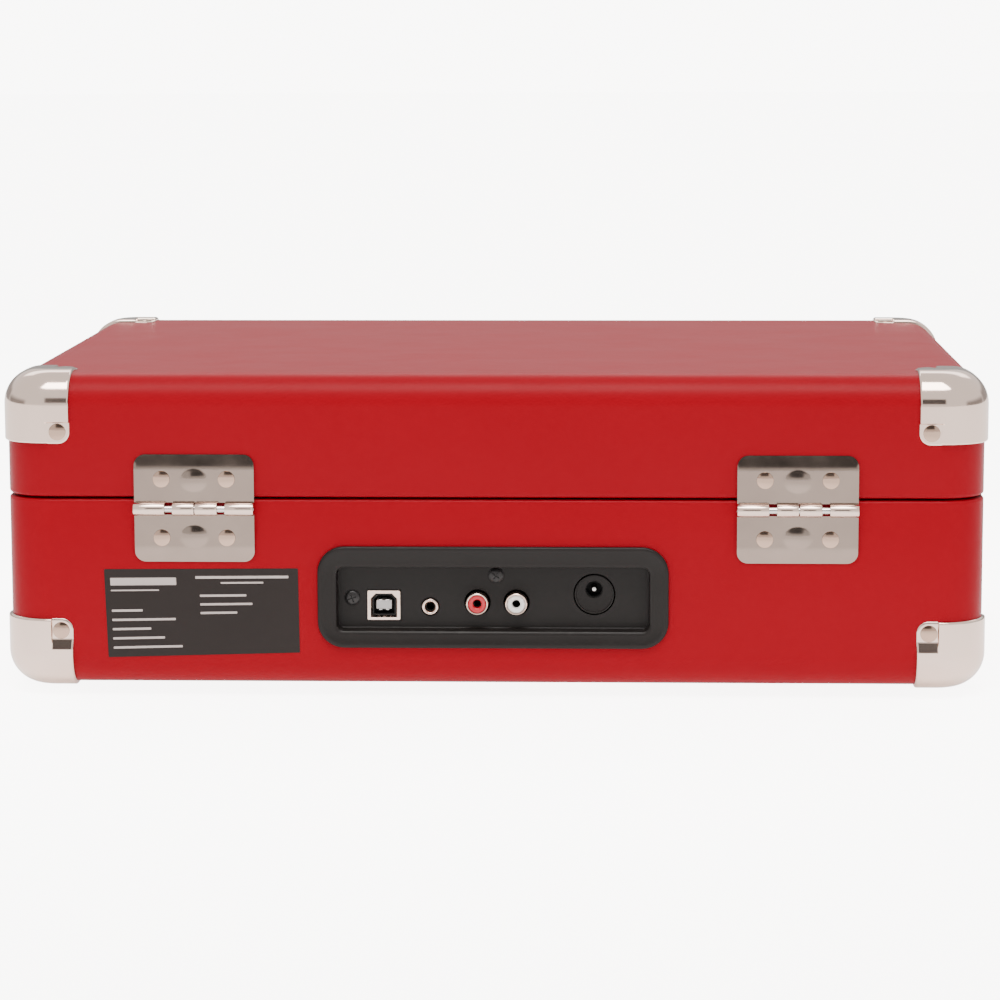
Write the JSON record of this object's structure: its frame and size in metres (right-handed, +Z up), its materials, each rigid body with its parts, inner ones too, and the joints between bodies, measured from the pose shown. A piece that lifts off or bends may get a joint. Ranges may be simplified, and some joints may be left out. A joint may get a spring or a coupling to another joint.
{
  "type": "suitcase record player",
  "caption": "Portable record player in a hinged leatherette suitcase with metal corners, a belt-driven platter, a tonearm and rear audio sockets.",
  "frame": {"origin": "on the floor plane under the middle of the closed case, midway between its hinge side and its handle side", "axes": "+X to the left seen from the hinge side, +Y out of the hinge side, +Z up"},
  "size_m": [0.3586, 0.2575, 0.1193],
  "materials": {
    "red_leatherette": "fine-grained satin leatherette over board",
    "nickel": "bright nickel plate",
    "steel": "bright steel",
    "black_plastic": "satin moulded plastic",
    "rubber": "matt rubber",
    "circuit_board": "green circuit board",
    "white_plastic": "white moulded plastic",
    "red_plastic": "red moulded plastic",
    "dark_panel": "dark painted board"
  },
  "bodies": {
    "case": {"base_shell": "red_leatherette", "base_bottom_panel": "dark_panel", "foot_1": "rubber", "foot_2": "rubber", "foot_3": "rubber", "foot_4": "rubber", "base_corner_1": "nickel", "base_corner_2": "nickel", "base_corner_3": "nickel", "base_corner_4": "nickel", "hinge_leaf_base_1": "nickel", "hinge_leaf_base_2": "nickel", "hinge_pin_1": "steel", "hinge_pin_2": "steel", "rear_panel": "black_plastic", "usb_socket": "nickel", "aux_jack": "nickel", "rca_jack_red": "red_plastic", "rca_jack_white": "white_plastic", "dc_socket": "black_plastic", "deck_plate": "black_plastic", "spindle": "steel", "drive_belt": "rubber", "motor": "steel", "speaker_1": "black_plastic", "speaker_2": "black_plastic", "amplifier_board": "circuit_board", "tonearm_post": "black_plastic", "tonearm_rest": "black_plastic", "latch_plate_1": "nickel", "latch_plate_2": "nickel", "handle_bracket_1": "nickel", "handle_bracket_2": "nickel"},
    "lid": {"lid_shell": "red_leatherette", "lid_board": "red_leatherette", "lid_corner_1": "nickel", "lid_corner_2": "nickel", "lid_corner_3": "nickel", "lid_corner_4": "nickel", "hinge_leaf_lid_1": "nickel", "hinge_leaf_lid_2": "nickel", "latch_hasp_1": "nickel", "latch_hasp_2": "nickel"},
    "turntable": {"platter": "black_plastic", "slip_mat": "rubber"},
    "pulley": {"motor_pulley": "white_plastic"},
    "arm_swivel": {"tonearm_yoke": "black_plastic"},
    "arm": {"tonearm_tube": "black_plastic", "headshell": "black_plastic", "cartridge": "black_plastic", "stylus": "red_plastic"},
    "arm_lift": {"lift_bar": "black_plastic"},
    "cue": {"cue_lever": "black_plastic"},
    "clip": {"arm_clip": "black_plastic"},
    "speed": {"speed_switch": "black_plastic"},
    "autostop": {"autostop_switch": "black_plastic"},
    "volume": {"volume_knob": "black_plastic"},
    "latch_1": {"latch_slider_1": "nickel"},
    "latch_2": {"latch_slider_2": "nickel"},
    "handle": {"handle_grip": "red_leatherette"}
  },
  "joints": [
    {"name": "lid_hinge", "type": "hinge", "parent": "case", "child": "lid", "pos_m": [0, 0.1243, 0.0697], "axis": [-1, 0, 0], "range_deg": [0, 100]},
    {"name": "platter_spin", "type": "hinge", "parent": "case", "child": "turntable", "pos_m": [-0.036, 0.014, 0.0778], "axis": [0, 0, -1], "continuous": true},
    {"name": "pulley_spin", "type": "hinge", "parent": "case", "child": "pulley", "pos_m": [-0.10182, 0.052, 0.0709], "axis": [0, 0, -1], "continuous": true},
    {"name": "arm_swing", "type": "hinge", "parent": "case", "child": "arm_swivel", "pos_m": [0.122, 0.084, 0.096], "axis": [0, 0, -1], "range_deg": [0, 48]},
    {"name": "arm_tilt", "type": "hinge", "parent": "arm_swivel", "child": "arm", "pos_m": [0.122, 0.084, 0.096], "axis": [-1, 0, 0], "range_deg": [0, 2.7]},
    {"name": "cue_turn", "type": "hinge", "parent": "case", "child": "cue", "pos_m": [0.1425, 0.058, 0.0806], "axis": [-1, 0, 0], "range_deg": [0, 45]},
    {"name": "lift_slide", "type": "slide", "parent": "case", "child": "arm_lift", "axis": [0, 0, 1], "range_m": [0, 0.0011]},
    {"name": "clip_turn", "type": "hinge", "parent": "case", "child": "clip", "pos_m": [0.129, -0.045, 0.096], "axis": [0, -1, 0], "range_deg": [0, 110]},
    {"name": "speed_slide", "type": "slide", "parent": "case", "child": "speed", "axis": [0, 1, 0], "range_m": [0, 0.008]},
    {"name": "autostop_slide", "type": "slide", "parent": "case", "child": "autostop", "axis": [0, 1, 0], "range_m": [0, 0.005]},
    {"name": "volume_turn", "type": "hinge", "parent": "case", "child": "volume", "pos_m": [0.15, -0.088, 0.0703], "axis": [0, 0, -1], "range_deg": [0, 280]},
    {"name": "latch_slide_1", "type": "slide", "parent": "case", "child": "latch_1", "axis": [-1, 0, 0], "range_m": [0, 0.005]},
    {"name": "latch_slide_2", "type": "slide", "parent": "case", "child": "latch_2", "axis": [1, 0, 0], "range_m": [0, 0.005]},
    {"name": "handle_swing", "type": "hinge", "parent": "case", "child": "handle", "pos_m": [0, -0.1267, 0.05], "axis": [-1, 0, 0], "range_deg": [0, 100]}
  ],
  "couplings": [
    {"joint": "pulley_spin", "follows": "platter_spin", "ratio": 11.495},
    {"joint": "cue_turn", "follows": "arm_tilt", "ratio": 16.648},
    {"joint": "lift_slide", "follows": "arm_tilt", "m_per_rad": 0.0233}
  ]
}
